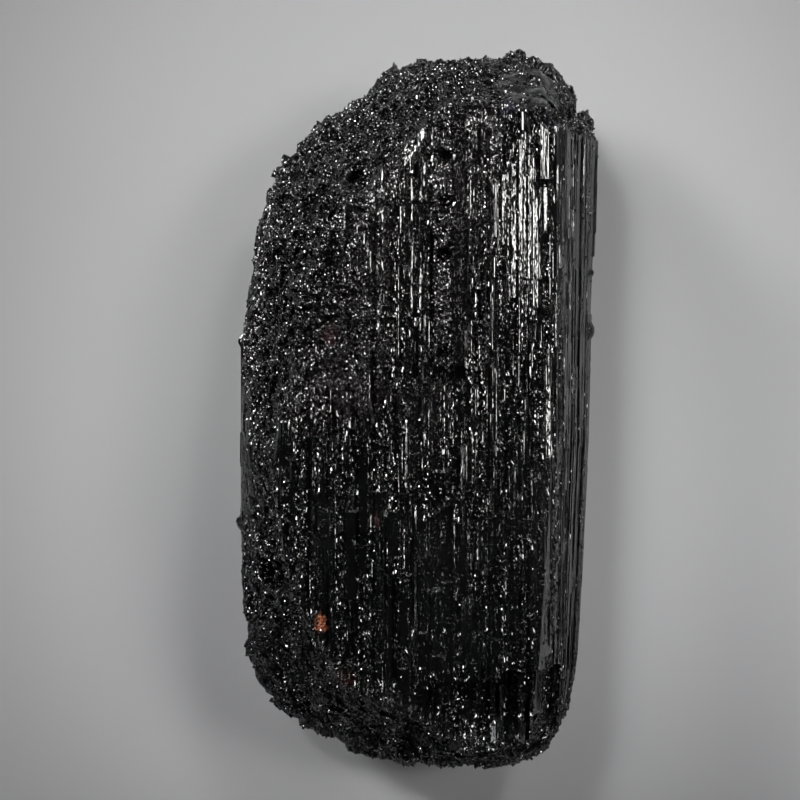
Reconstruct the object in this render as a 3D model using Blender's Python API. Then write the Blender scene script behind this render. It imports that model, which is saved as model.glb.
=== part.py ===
"""Black tourmaline crystal, one grown piece, lying on its back with its long axis along Y.

The form is a thick prism with a gently bowed front and a steep side at each hand. It is cut off by
broken ends: a rough dome at the head (+Y) and a ragged fracture at the tail (-Y) with a recess
under a ledge. Long flat ribs run along the front, and sugary crust fills the places between them.

All lengths are millimetres until the mesh is written, where they become metres. x runs across,
u runs along the crystal from the tail to the head, z is up from the flat that it lies on.
"""

import math

import bmesh
import bpy
import numpy as np

# Driving dimensions: the length, and the height of the front above the flat that it lies on.
LENGTH = 156.0
DEPTH = 55.5

METRES = 0.001
TRIANGLES = 9400

# The middle of the finished outline, which is put over the origin.
MIDDLE_X, MIDDLE_U = 0.2, 78.8

# The core is a flat rectangle inside the crystal. Straight lines go out from it to the surface.
CORE_LEFT, CORE_RIGHT = -23.0, 28.0
CORE_TAIL, CORE_HEAD = 16.0, 130.0
CORE_HEIGHT = 26.0

COLUMN_PITCH = 1.1
ROW_PITCH = 1.4
FAN_STEPS = 24
EDGE_GAP = 0.15

# The outline, clockwise from the tail: x, u, slope of the front side and of the back side of the
# stretch that starts there (degrees from level), height of its widest line, and broken or grown.
BROKEN, GROWN = True, False
OUTLINE = (
    (8.2, -0.4, 76, 66, 22, BROKEN),
    (-4.8, 1.3, 74, 64, 22, BROKEN),
    (-19.1, 5.5, 64, 60, 21, BROKEN),
    (-31.3, 12.6, 60, 60, 22, BROKEN),
    (-37.2, 24.1, 68, 62, 22, BROKEN),
    (-38.6, 37.3, 77, 64, 26, GROWN),
    (-38.9, 92.5, 74, 62, 24, GROWN),
    (-37.7, 102.5, 64, 62, 25, BROKEN),
    (-35.4, 119.4, 58, 62, 26, BROKEN),
    (-31.2, 130.5, 56, 60, 26, BROKEN),
    (-22.2, 140.0, 60, 60, 26, BROKEN),
    (-11.2, 148.6, 68, 60, 25, BROKEN),
    (-3.3, 153.8, 69, 62, 24, BROKEN),
    (5.0, 155.6, 69, 64, 23, BROKEN),
    (14.0, 156.4, 69, 66, 22, BROKEN),
    (24.6, 156.3, 69, 66, 22, BROKEN),
    (29.6, 154.4, 70, 66, 22, BROKEN),
    (34.9, 147.9, 80, 66, 24, BROKEN),
    (39.5, 140.2, 69, 68, 28, GROWN),
    (37.6, 71.9, 69, 68, 28, GROWN),
    (34.7, 26.4, 72, 66, 28, GROWN),
    (32.7, 12.0, 72, 62, 26, BROKEN),
    (27.9, 4.4, 74, 60, 24, BROKEN),
    (20.2, 0.9, 76, 64, 23, BROKEN),
)

# The other faces: a point on each, the direction it falls in, its slope, and broken or grown.
FACES = (
    ((0.0, 80.0, DEPTH), (1.0, 0.0), 0, GROWN),
    ((10.0, 80.0, DEPTH), (1.0, 0.0), 6, GROWN),
    ((27.4, 80.0, DEPTH - 1.9), (1.0, 0.0), 44, GROWN),
    ((-8.0, 80.0, DEPTH), (-1.0, 0.0), 9, GROWN),
    ((-26.0, 80.0, DEPTH - 2.9), (-1.0, 0.0), 27, GROWN),
    ((8.0, 141.5, DEPTH - 0.5), (0.12, 1.0), 62, BROKEN),
    ((-12.0, 118.0, DEPTH - 0.3), (-0.8, 0.6), 15, BROKEN),
    ((-6.0, 20.0, DEPTH - 0.1), (-0.5, -1.0), 16, BROKEN),
)

# Ribs and lanes along the front: left, right, lower end, upper end, rise, lean to the right in degrees.
RIBS = (
    (6.9, 9.6, 87.0, 141.0, 1.0, 0),
    (3.2, 6.7, 87.0, 139.4, 0.4, 0),
    (2.6, 9.6, 84.0, 87.2, -3.6, 0),
    (-0.2, 2.0, 77.0, 142.8, 0.5, 3),
    (-2.9, -0.9, 80.6, 137.7, 0.3, -4),
    (-7.0, -3.1, 80.0, 138.0, -0.5, 0),
    (-8.6, -7.2, 76.5, 111.2, 0.5, 0),
    (17.9, 20.0, 101.0, 133.4, 0.3, 14),
    (20.4, 22.2, 90.0, 134.0, 0.8, 18),
    (22.4, 24.4, 96.5, 131.6, 0.5, 18),
    (24.8, 26.8, 125.3, 137.3, 1.1, 20),
    (24.6, 26.5, 113.4, 124.4, 0.7, 18),
    (2.8, 5.7, 66.0, 84.0, -1.4, 0),
    (5.7, 8.5, 60.5, 84.0, -1.7, 0),
    (8.5, 10.6, 71.5, 84.0, -1.0, 0),
    (-14.8, -12.6, 39.6, 57.9, 0.6, 0),
    (-6.2, -5.2, 21.6, 47.9, 0.5, 0),
    (4.5, 6.9, 43.5, 58.6, -1.2, 0),
    (22.6, 24.1, 26.5, 67.3, 0.5, -6),
    (13.0, 14.2, 28.0, 61.0, 0.4, 5),
    (-29.8, -26.6, 66.6, 76.5, 0.4, -6),
)

# Round hollows in the front: x, u, radius, depth.
PITS = (
    (5.5, 130.4, 1.7, 2.3),
    (5.5, 120.8, 1.7, 2.3),
    (5.2, 110.2, 1.7, 2.4),
    (5.2, 90.4, 1.8, 2.2),
    (-12.3, 125.7, 3.0, 3.2),
    (-11.7, 51.8, 1.8, 1.8),
    (3.0, 143.9, 1.8, 1.8),
    (26.3, 113.5, 1.4, 1.2),
)
# The crease between the head's dome and the shoulder of the right side, and the shoulder itself.
CREASE = ((26.2, 138.2), (30.5, 141.2), (36.8, 145.8))
CREASE_DEPTH, CREASE_WIDTH = 2.4, 1.9
SHOULDER_X, SHOULDER_U, SHOULDER_DEPTH = 26.6, 137.2, 0.9
# Small knobs on the sides: x, u, height, radius, rise.
KNOBS = (
    (38.6, 107.9, 30.0, 1.6, 1.0),
    (37.9, 95.5, 30.0, 2.6, 0.9),
    (-38.8, 93.6, 26.0, 2.0, 0.9),
    (-38.6, 54.0, 26.0, 2.0, 0.9),
)
UNDERCUT_LEFT, UNDERCUT_RIGHT = -34.5, -25.3
UNDERCUT_LOW, UNDERCUT_HIGH = 41.6, 47.0
UNDERCUT_DEPTH = 3.6

# The recess at the tail: its ledge as u over x, and how deep it goes below the front.
LEDGE_X = (-11.1, -2.7, 3.5, 13.1, 18.4, 28.3)
LEDGE_U = (21.2, 20.5, 22.8, 23.4, 25.3, 25.1)
RECESS_X = (-12.0, -3.2, -2.0, 8.0, 11.0, 16.0, 19.0, 27.5, 30.0)
RECESS_DEPTH = (0.6, 1.4, 6.8, 6.8, 4.6, 4.6, 7.0, 7.0, 0.4)
RECESS_REACH = (9.0, 16.0)
# Rods standing in the recess: left, right, lower end, upper end, rise.
RODS = (
    (14.6, 16.0, 9.6, 21.9, 2.0),
    (16.6, 17.8, 9.0, 22.3, 1.8),
    (20.4, 22.0, 9.0, 24.6, 3.2),
    (22.9, 23.9, 9.6, 18.8, 2.4),
)

# Sizes of what repeats
STRIP_WIDTHS = (4.6, 2.3)
STRIP_RUNS = (64.0, 38.0)
STRIP_RISES = (0.65, 0.4)
LUMP_SIZE = 11.0
CHIP_SIZE = 4.6
# Lumps are blunted above this height.
HIGHEST = 0.8
# The relief is set this far into the faces, so that its tops stay at the driving sizes.
SETTLE = 0.7
# A broad rib in the middle of the underside, which is what the crystal mostly lies on.
BELLY_LEFT, BELLY_RIGHT = -6.0, 7.5
BELLY_LOW, BELLY_HIGH = 38.0, 121.0
# Points this near the surface that it lies on are on it.
TOUCH = 0.15


# ---- numbers that look random but are always the same

def hashed(cells, seed):
    """One number from 0 to 1 for each cell of a grid."""
    word = np.full(cells[0].shape, (2166136261 + 7919 * seed) & 0xFFFFFFFF, np.uint64)
    low = np.uint64(0xFFFFFFFF)
    for cell in cells:
        part = (cell.astype(np.int64) & 0xFFFFFFFF).astype(np.uint64)
        word = ((word ^ part) * np.uint64(16777619)) & low
        word ^= word >> np.uint64(13)
        word = (word * np.uint64(0x5BD1E995)) & low
        word ^= word >> np.uint64(15)
    return word.astype(np.float64) / 2.0 ** 32


def noise(points, size, seed):
    """Smooth swells from -1 to 1, about one size apart."""
    grid = points / np.asarray(size, float)
    base = np.floor(grid)
    ease = grid - base
    ease = ease * ease * (3 - 2 * ease)
    axes = points.shape[1]
    total = np.zeros(len(points))
    for corner in range(2 ** axes):
        weight = np.ones(len(points))
        cell = []
        for axis in range(axes):
            upper = corner >> axis & 1
            weight *= ease[:, axis] if upper else 1 - ease[:, axis]
            cell.append(base[:, axis] + upper)
        total += weight * hashed(cell, seed)
    return total * 2 - 1


def fractal(points, size, seed, octaves=3):
    """Swells with smaller swells on them."""
    size = np.asarray(size, float)
    return sum(noise(points, size / 2 ** k, seed + k) / 2 ** k for k in range(octaves))


def chips(points, size, seed, tilt=0.6, step=0.2):
    """Flat facets, each tilted and raised its own way, in units of size."""
    grid = points / np.asarray(size, float)
    base = np.floor(grid)
    count, axes = grid.shape
    nearest = np.full(count, 9.0)
    offset = np.zeros((count, axes))
    key = np.zeros((count, axes))
    for index in range(3 ** axes):
        cell = base + [index // 3 ** axis % 3 - 1 for axis in range(axes)]
        columns = [cell[:, axis] for axis in range(axes)]
        jitter = np.stack([hashed(columns, seed + 11 + axis) for axis in range(axes)], 1)
        away = grid - (cell + 0.1 + 0.8 * jitter)
        distance = np.sqrt((away * away).sum(1))
        closer = distance < nearest
        nearest = np.where(closer, distance, nearest)
        offset[closer] = away[closer]
        key[closer] = cell[closer]
    columns = [key[:, axis] for axis in range(axes)]
    height = (hashed(columns, seed + 31) - 0.5) * 2 * step
    for axis in range(axes):
        height += (hashed(columns, seed + 41 + axis) - 0.5) * 2 * tilt * offset[:, axis]
    return height


def smooth(value, start, end):
    """0 before start, 1 after end, an even turn between."""
    t = np.clip((value - start) / (end - start), 0, 1)
    return t * t * (3 - 2 * t)


def strips(across, along, width, run, seed):
    """Long flat strips of uneven level from -1 to 1, each broken off at its own places."""
    bent = across + 0.35 * width * noise(across[:, None], 2.1 * width, seed + 5)
    lane = np.floor(bent / width)
    length = run * (0.6 + 0.8 * hashed([lane], seed + 1))
    piece = np.floor((along + 7 * run * hashed([lane], seed)) / length)
    return 2 * hashed([lane, piece], seed + 2) - 1


# ---- the faces that bound the crystal

def face_planes():
    """Outward normals, distances and the broken flag of every bounding face, the belly last."""
    normals, distances, broken = [], [], []

    def add(direction, slope, side, point, is_broken):
        lean, rise = math.sin(math.radians(slope)), math.cos(math.radians(slope))
        normal = np.array([direction[0] * lean, direction[1] * lean, side * rise])
        normals.append(normal)
        distances.append(normal @ np.array(point))
        broken.append(is_broken)

    for index, (x, u, front, back, height, is_broken) in enumerate(OUTLINE):
        next_x, next_u = OUTLINE[(index + 1) % len(OUTLINE)][:2]
        span = math.hypot(next_x - x, next_u - u)
        outward = (-(next_u - u) / span, (next_x - x) / span)
        add(outward, front, 1, (x, u, height), is_broken)
        add(outward, back, -1, (x, u, height), is_broken)
    for point, (fall_x, fall_u), slope, is_broken in FACES:
        span = math.hypot(fall_x, fall_u)
        add((fall_x / span, fall_u / span), slope, 1, point, is_broken)
    add((0.0, 0.0), 0, -1, (0.0, 0.0, 0.0), GROWN)
    return np.array(normals), np.array(distances), np.array(broken)


NORMALS, DISTANCES, IS_BROKEN = face_planes()


def reach(start, direction):
    """How far each line runs to the grown faces, to the broken faces and to the belly."""
    toward = direction @ NORMALS.T
    behind = start @ NORMALS.T
    far = 1e6
    with np.errstate(divide="ignore", invalid="ignore"):
        run = np.where(toward > 1e-6, (DISTANCES - behind) / toward, far)
    return run[:, ~IS_BROKEN].min(1), run[:, IS_BROKEN].min(1), run[:, -1]


# ---- what stands on the faces

def window(x, u, left, right, low, high, edge=EDGE_GAP):
    """1 inside a lane of the front and 0 outside it."""
    across = np.clip(np.minimum(x - left, right - x) / (2 * edge) + 0.5, 0, 1)
    along = np.clip(np.minimum(u - low, high - u) / (2 * edge) + 0.5, 0, 1)
    return across * along


def recess(x, u):
    """Depth of the recess under the tail ledge."""
    below = np.interp(x, LEDGE_X, LEDGE_U) - u
    depth = np.interp(x, RECESS_X, RECESS_DEPTH, left=0, right=0)
    near, far = RECESS_REACH
    return depth * smooth(below, -0.2, 0.5) * (1 - 0.75 * smooth(below, near, far))


def shoulder(points):
    """1 on the broken end of the right side, beyond where its clean faces stop."""
    x, u, z = points.T
    return smooth(u, SHOULDER_U - 0.5, SHOULDER_U + 0.5) * smooth(
        x, SHOULDER_X - 0.6, SHOULDER_X + 0.6) * smooth(z, 14, 22)


def crease(x, u, z):
    """Depth of the crease beside the dome."""
    nearest = np.full(len(x), 99.0)
    for (x0, u0), (x1, u1) in zip(CREASE, CREASE[1:]):
        run_x, run_u = x1 - x0, u1 - u0
        along = np.clip(((x - x0) * run_x + (u - u0) * run_u) / (run_x ** 2 + run_u ** 2), 0, 1)
        nearest = np.minimum(nearest, np.hypot(x - x0 - along * run_x, u - u0 - along * run_u))
    return CREASE_DEPTH * (1 - smooth(nearest, 0.2, CREASE_WIDTH)) * smooth(z, 10, 22)


def relief(points, direction, across, cut):
    """How far the surface stands out from the bounding faces."""
    x, u, z = points.T
    front = smooth(direction[:, 2], 0.5, 0.8)
    grown = np.zeros(len(x))
    for index, (width, run, rise) in enumerate(zip(STRIP_WIDTHS, STRIP_RUNS, STRIP_RISES)):
        grown += rise * strips(across, u, width, run, index + 1)
    sugar = np.maximum(cut, smooth(-x, 5, 14) * smooth(u, 70, 95) * front)
    facets = CHIP_SIZE * chips(points, CHIP_SIZE, 51, 0.5, 0.16)
    lumps = 1.0 * fractal(points, LUMP_SIZE, 71, 2) + 1.9 * np.abs(noise(points, 5.2, 77)) - 0.5
    stand = (1 - cut) * (1 - 0.7 * sugar) * grown + sugar * 0.6 * facets + cut * lumps
    stand = np.where(stand > HIGHEST, HIGHEST + 0.25 * (stand - HIGHEST), stand)
    for left, right, low, high, rise, lean in RIBS:
        inside = window(x, u, left, right, low, high) * front
        slope = math.tan(math.radians(lean)) * ((left + right) / 2 - x)
        stand = stand * (1 - inside) + inside * (rise + slope)
    for pit_x, pit_u, radius, depth in PITS:
        away = np.hypot(x - pit_x, u - pit_u)
        stand -= depth * front * (1 - smooth(away, 0.5 * radius, radius))
    stand -= UNDERCUT_DEPTH * front * window(
        x, u, UNDERCUT_LEFT, UNDERCUT_RIGHT, UNDERCUT_LOW, UNDERCUT_HIGH, 0.5)
    for knob_x, knob_u, height, radius, rise in KNOBS:
        away = np.sqrt((x - knob_x) ** 2 + (u - knob_u) ** 2 + (z - height) ** 2)
        stand += rise * (1 - smooth(away, 0.2 * radius, radius))
    stand -= crease(x, u, z) + SHOULDER_DEPTH * shoulder(points)
    sunk = recess(x, u) * front
    for left, right, low, high, rise in RODS:
        inside = window(x, u, left, right, low, high) * front * (sunk > 0.5)
        stand = stand * (1 - inside)
        sunk = sunk - inside * np.minimum(rise, sunk)
    swell = 0.4 * noise(points, 24.0, 99)
    return stand + swell - sunk - SETTLE


def surface(start, direction, across):
    """Surface points, grooved underneath but flat where the crystal lies."""
    grown, broken, belly = reach(start, direction)
    nearest = np.minimum(grown, broken)
    points = start + direction * nearest[:, None]
    cut = np.maximum(smooth(grown - broken, -1.0, 3.0), shoulder(points))
    stand = relief(points, direction, across, cut)
    rib = window(points[:, 0], points[:, 1], BELLY_LEFT, BELLY_RIGHT, BELLY_LOW, BELLY_HIGH)
    lifted = (stand + SETTLE) * (1 - rib)
    stand = np.where(belly <= nearest + 1e-6, lifted, stand)
    points = points + direction * stand[:, None]
    points[:, 2] = np.maximum(points[:, 2], 0.0)
    return points


# ---- the mesh

def spread(low, high, pitch, edges=()):
    """Evenly spaced places from low to high, with a close pair at each edge."""
    count = max(2, round((high - low) / pitch))
    even = np.linspace(low, high, count + 1)
    pairs = [edge + side * EDGE_GAP for edge in edges for side in (-1, 1)]
    inner = [place for place in pairs if low + EDGE_GAP < place < high - EDGE_GAP]
    keep = [p for p in even if p in (low, high) or all(abs(p - q) > 2 * EDGE_GAP for q in inner)]
    return np.unique(np.round(np.concatenate([keep, inner]), 4))


def ring_columns():
    """Start x and angle of every column round the core, clockwise seen from the tail."""
    lanes = [edge for rib in RIBS + RODS for edge in rib[:2]]
    front = spread(CORE_LEFT, CORE_RIGHT, COLUMN_PITCH, lanes)
    side_turns = round(70.0 / COLUMN_PITCH)
    turn = np.linspace(0, math.pi, side_turns + 1)[1:-1]
    start_x = np.concatenate([front, np.full(len(turn), CORE_RIGHT), front[::-1], np.full(len(turn), CORE_LEFT)])
    angle = np.concatenate([np.zeros(len(front)), turn, np.full(len(front), math.pi), math.pi + turn])
    return start_x, angle, len(front), len(turn)


def row_places():
    """Start u and lift of every row, from the tail fan to the head fan."""
    ends = [end for rib in RIBS for end in rib[2:4]]
    body = spread(CORE_TAIL, CORE_HEAD, ROW_PITCH, ends)
    fan = np.linspace(0, math.pi / 2, FAN_STEPS + 1)[1:-1]
    start_u = np.concatenate([np.full(len(fan), CORE_TAIL), body, np.full(len(fan), CORE_HEAD)])
    lift = np.concatenate([-fan[::-1], np.zeros(len(body)), fan])
    return start_u, lift


def cast(start_x, start_u, angle, lift, across):
    """Surface points for lines given by their start, their angle round the core and their lift."""
    direction = np.stack(
        [np.sin(angle) * np.cos(lift), np.sin(lift), np.cos(angle) * np.cos(lift)], 1)
    start = np.stack([start_x, start_u, np.full(len(start_x), CORE_HEIGHT)], 1)
    return surface(start, direction, across)


def distance_round(start_x, angle):
    """Distance of each column round the crystal at mid length, equal to x on the front."""
    middle = np.full(len(start_x), LENGTH / 2)
    direction = np.stack([np.sin(angle), np.zeros(len(angle)), np.cos(angle)], 1)
    start = np.stack([start_x, middle, np.full(len(start_x), CORE_HEIGHT)], 1)
    grown = reach(start, direction)[0]
    points = start + direction * grown[:, None]
    steps = np.hypot(*np.diff(points[:, [0, 2]], axis=0).T)
    return CORE_LEFT + np.concatenate([[0], np.cumsum(steps)])


def closed_skin():
    """Points and faces of the closed surface, before it is thinned out."""
    start_x, angle, flat, turned = ring_columns()
    start_u, lift = row_places()
    around, along = len(start_x), len(start_u)
    across = distance_round(start_x, angle)
    grid = [np.tile(column, along) for column in (start_x, angle, across)]
    rows = [np.repeat(row, around) for row in (start_u, lift)]
    points = [cast(grid[0], rows[0], grid[1], rows[1], grid[2])]
    for seam_u, seam_lift in ((CORE_TAIL, -math.pi / 2), (CORE_HEAD, math.pi / 2)):
        seam_x = start_x[:flat]
        points.append(cast(seam_x, np.full(flat, seam_u), np.zeros(flat), np.full(flat, seam_lift), seam_x))
    first = np.arange(along - 1)[:, None] * around
    here = np.arange(around)[None]
    beside = (here + 1) % around
    faces = np.stack([first + here, first + beside, first + around + beside, first + around + here], -1)
    faces = faces.reshape(-1, 4).tolist()
    for ring, seam, tail in ((0, along * around, True), ((along - 1) * around, along * around + flat, False)):
        for column in range(around):
            following = (column + 1) % around
            low, high = seam_index(column, flat, turned), seam_index(following, flat, turned)
            corners = [ring + column, ring + following, seam + high, seam + low]
            if low == high:
                corners.pop()
            faces.append(corners[::-1] if tail else corners)
    return np.concatenate(points), faces


def seam_index(column, flat, turned):
    """Point of the end seam that a column runs to."""
    if column < flat:
        return column
    if column < flat + turned:
        return flat - 1
    if column < 2 * flat + turned:
        return 2 * flat + turned - 1 - column
    return 0


def crystal_material():
    """Glossy black tourmaline."""
    material = bpy.data.materials.new("black_tourmaline")
    material.use_nodes = True
    shader = material.node_tree.nodes["Principled BSDF"]
    shader.inputs["Base Color"].default_value = (0.012, 0.012, 0.015, 1.0)
    shader.inputs["Roughness"].default_value = 0.3
    shader.inputs["Metallic"].default_value = 0.0
    shader.inputs["IOR"].default_value = 1.64
    return material


def build_crystal():
    """The whole crystal as one faceted solid, its lowest facets level with the surface it lies on."""
    points, faces = closed_skin()
    points -= (MIDDLE_X, MIDDLE_U, 0.0)
    mesh = bpy.data.meshes.new("crystal")
    mesh.from_pydata((points * METRES).tolist(), [], faces)
    crystal = bpy.data.objects.new("crystal", mesh)
    bpy.context.scene.collection.objects.link(crystal)
    shape = bmesh.new()
    shape.from_mesh(mesh)
    bmesh.ops.triangulate(shape, faces=shape.faces[:])
    bmesh.ops.recalc_face_normals(shape, faces=shape.faces[:])
    full = len(shape.faces)
    shape.to_mesh(mesh)
    shape.free()
    thin = crystal.modifiers.new("facets", "DECIMATE")
    thin.ratio = TRIANGLES / full
    evaluated = crystal.evaluated_get(bpy.context.evaluated_depsgraph_get())
    faceted = bpy.data.meshes.new_from_object(evaluated)
    crystal.modifiers.clear()
    crystal.data = faceted
    for point in faceted.vertices:
        if point.co.z < TOUCH * METRES:
            point.co.z = 0.0
    faceted.materials.append(crystal_material())
    return crystal


def main():
    for old in list(bpy.data.objects):
        bpy.data.objects.remove(old, do_unlink=True)
    build_crystal()


main()
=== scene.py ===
"""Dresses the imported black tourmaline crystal: fine surface, crust, rods and stage."""

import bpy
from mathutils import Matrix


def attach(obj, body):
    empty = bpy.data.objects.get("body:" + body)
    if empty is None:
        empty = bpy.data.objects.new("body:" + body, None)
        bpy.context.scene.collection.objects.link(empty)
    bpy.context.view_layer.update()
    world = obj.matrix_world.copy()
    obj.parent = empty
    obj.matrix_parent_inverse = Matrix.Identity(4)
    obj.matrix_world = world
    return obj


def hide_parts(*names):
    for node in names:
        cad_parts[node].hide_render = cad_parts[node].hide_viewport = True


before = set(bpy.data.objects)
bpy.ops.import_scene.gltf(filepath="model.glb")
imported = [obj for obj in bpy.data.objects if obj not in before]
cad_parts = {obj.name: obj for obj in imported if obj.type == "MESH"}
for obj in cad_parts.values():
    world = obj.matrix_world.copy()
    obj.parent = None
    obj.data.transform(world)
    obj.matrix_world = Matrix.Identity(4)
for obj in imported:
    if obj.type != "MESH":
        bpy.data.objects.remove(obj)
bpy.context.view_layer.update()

from math import cos, hypot, pi, radians, sin, tan

import bmesh
import bpy
import numpy as np
from mathutils import Vector

bl_info = {
    "name": "Black Tourmaline Crystal",
    "version": (1, 0, 0),
    "blender": (4, 5, 0),
    "location": "View3D > Sidebar > Tourmaline",
    "description": "Makes a striated black tourmaline crystal with a sugary crust",
    "category": "Add Mesh",
}

METRES = 0.001
NODE = "crystal"
BODY = "root"

# ---- the form, in millimetres: x across, u from the tail to the head, z up

LENGTH, DEPTH = 156.0, 55.5
MIDDLE_X, MIDDLE_U = 0.2, 78.8

# The core is a flat rectangle inside the crystal. Straight lines go out from it to the surface.
CORE_LEFT, CORE_RIGHT = -23.0, 28.0
CORE_TAIL, CORE_HEAD = 16.0, 130.0
CORE_HEIGHT = 26.0
EDGE_GAP = 0.15

# The outline, clockwise from the tail: x, u, slopes in degrees of the front and the back side of
# the stretch that starts there, and height of its widest line. Stretches that aren't grown are
# broken.
OUTLINE = (
    (8.2, -0.4, 76, 66, 22), (-4.8, 1.3, 74, 64, 22), (-19.1, 5.5, 64, 60, 21),
    (-31.3, 12.6, 60, 60, 22), (-37.2, 24.1, 68, 62, 22), (-38.6, 37.3, 77, 64, 26),
    (-38.9, 92.5, 74, 62, 24), (-37.7, 102.5, 64, 62, 25), (-35.4, 119.4, 58, 62, 26),
    (-31.2, 130.5, 56, 60, 26), (-22.2, 140, 60, 60, 26), (-11.2, 148.6, 68, 60, 25),
    (-3.3, 153.8, 69, 62, 24), (5, 155.6, 69, 64, 23), (14, 156.4, 69, 66, 22),
    (24.6, 156.3, 69, 66, 22), (29.6, 154.4, 70, 66, 22), (34.9, 147.9, 80, 66, 24),
    (39.5, 140.2, 69, 68, 28), (37.6, 71.9, 69, 68, 28), (34.7, 26.4, 72, 66, 28),
    (32.7, 12, 72, 62, 26), (27.9, 4.4, 74, 60, 24), (20.2, 0.9, 76, 64, 23),
)
GROWN_STRETCHES = (5, 6, 18, 19, 20)

# The other faces: a point on each, the direction it falls in, its slope, and whether it's broken.
FACES = (
    ((0, 80, DEPTH), (1, 0), 0, False),
    ((10, 80, DEPTH), (1, 0), 6, False),
    ((27.4, 80, DEPTH - 1.9), (1, 0), 44, False),
    ((-8, 80, DEPTH), (-1, 0), 9, False),
    ((-26, 80, DEPTH - 2.9), (-1, 0), 27, False),
    ((8, 141.5, DEPTH - 0.5), (0.12, 1), 62, True),
    ((-12, 118, DEPTH - 0.3), (-0.8, 0.6), 15, True),
    ((-6, 20, DEPTH - 0.1), (-0.5, -1), 16, True),
)

# Ribs and lanes of the front: left, right, low end, high end, rise, lean in degrees, sugar.
RIBS = (
    (6.9, 9.6, 87, 141, 1, 0, 0), (3.2, 6.7, 87, 139.4, 0.4, 0, 1),
    (2.6, 9.6, 84, 87.2, -3.6, 0, 0), (-0.2, 2, 77, 142.8, 0.5, 3, 0.1),
    (-2.9, -0.9, 80.6, 137.7, 0.3, -4, 0.1), (-7, -3.1, 80, 138, -0.5, 0, 1),
    (-8.6, -7.2, 76.5, 111.2, 0.5, 0, 0), (17.9, 20, 101, 133.4, 0.3, 14, 0.5),
    (20.4, 22.2, 90, 134, 0.8, 18, 0.4), (22.4, 24.4, 96.5, 131.6, 0.5, 18, 0.45),
    (24.8, 26.8, 125.3, 137.3, 1.1, 20, 0.04), (24.6, 26.5, 113.4, 124.4, 0.7, 18, 0.06),
    (2.8, 5.7, 66, 84, -1.4, 0, 0.15), (5.7, 8.5, 60.5, 84, -1.7, 0, 0.4),
    (8.5, 10.6, 71.5, 84, -1, 0, 0.2), (-14.8, -12.6, 39.6, 57.9, 0.6, 0, 0),
    (-6.2, -5.2, 21.6, 47.9, 0.5, 0, 0), (4.5, 6.9, 43.5, 58.6, -1.2, 0, 0.1),
    (22.6, 24.1, 26.5, 67.3, 0.5, -6, 0.2), (13, 14.2, 28, 61, 0.4, 5, 0.4),
    (-29.8, -26.6, 66.6, 76.5, 0.4, -6, 0),
    # Finer bars and broken faces, too low for the solid.
    (-1.3, 0.1, 99, 126, 0.2, 0, 0), (-7.6, -5.7, 99, 120, 0.1, 0, 0),
    (14.5, 16.4, 113.5, 124.7, 0, 4, 0), (1, 2.6, 84.6, 88.2, -1, 0, 0),
    (17, 18.6, 112, 127, 0.4, 13, 0.16), (18.9, 20.1, 101, 129, 0.5, 14, 0.12),
    (20.5, 22.1, 107, 134, 0.8, 15, 0.14), (22.3, 23.4, 105, 132, 0.6, 14, 0.16),
    (23.7, 24.6, 99, 128, 0.6, 14, 0.1), (-11.6, -8.8, 119.9, 123.4, -0.2, 12, 0),
    (-12.2, -10.4, 45, 84, 0.2, 0, 0), (-1.7, 0.4, 63, 84.7, -0.2, 0, 0.05),
    (0.8, 2.8, 69, 84, -0.7, 0, 0.1), (10.6, 12.4, 60, 84, 0.1, 0, 0.2),
    (2.2, 4.5, 42, 57, -0.5, 0, 0.05), (2.6, 5.8, 28.6, 41.5, 0.1, 0, 0.1),
    (-3.7, -2, 30.2, 43.9, 0.2, 0, 0), (-6.2, -3.9, 48.5, 58, -0.3, 0, 0),
    (12.2, 14.3, 46, 55, -0.2, 0, 0.1), (24.1, 26, 24, 66, 0.1, -2, 0.05),
    (26, 27.2, 30, 92, -0.3, 0, 0.1),
)

# Granular lanes of the front: left, right, low end, high end, share of sugar.
GRANULAR = ((3.2, 6.7, 87, 139.4, 1), (9.8, 17.4, 111, 141, 0.5))
GRANULAR_EDGE, GRANULAR_SHARE = 0.4, 0.55

# Round hollows in the front: x, u, radius, depth.
PITS = (
    (5.5, 130.4, 1.7, 2.3), (5.5, 120.8, 1.7, 2.3), (5.2, 110.2, 1.7, 2.4), (5.2, 90.4, 1.8, 2.2),
    (-12.3, 125.7, 3, 3.2), (-11.7, 51.8, 1.8, 1.8), (3, 143.9, 1.8, 1.8), (26.3, 113.5, 1.4, 1.2),
)
PIT_FLOOR = 0.5

# The crease between the head's dome and the right side's shoulder, and the shoulder itself.
CREASE = ((26.2, 138.2), (30.5, 141.2), (36.8, 145.8))
CREASE_DEPTH, CREASE_SIDE = 2.4, (0.2, 1.9)
SHOULDER_X, SHOULDER_U, SHOULDER_DEPTH = (26, 27.2), (136.7, 137.7), 0.9
SHOULDER_Z, CREASE_Z = (14, 22), (10, 22)

# A cleaner patch of the dome: middle, radius, share of the radius that is clean.
SMOOTH_DOME = (23.5, 147, 8.5, 0.6)

# Small knobs on the sides: x, u, height, radius, rise.
KNOBS = (
    (38.6, 107.9, 30, 1.6, 1), (37.9, 95.5, 30, 2.6, 0.9),
    (-38.8, 93.6, 26, 2, 0.9), (-38.6, 54, 26, 2, 0.9),
)
KNOB_TOP = 0.2

# A hollow under a ledge on the left: left, right, low end, high end.
UNDERCUT = (-34.5, -25.3, 41.6, 47)
UNDERCUT_DEPTH, UNDERCUT_EDGE = 3.6, 0.5

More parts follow.
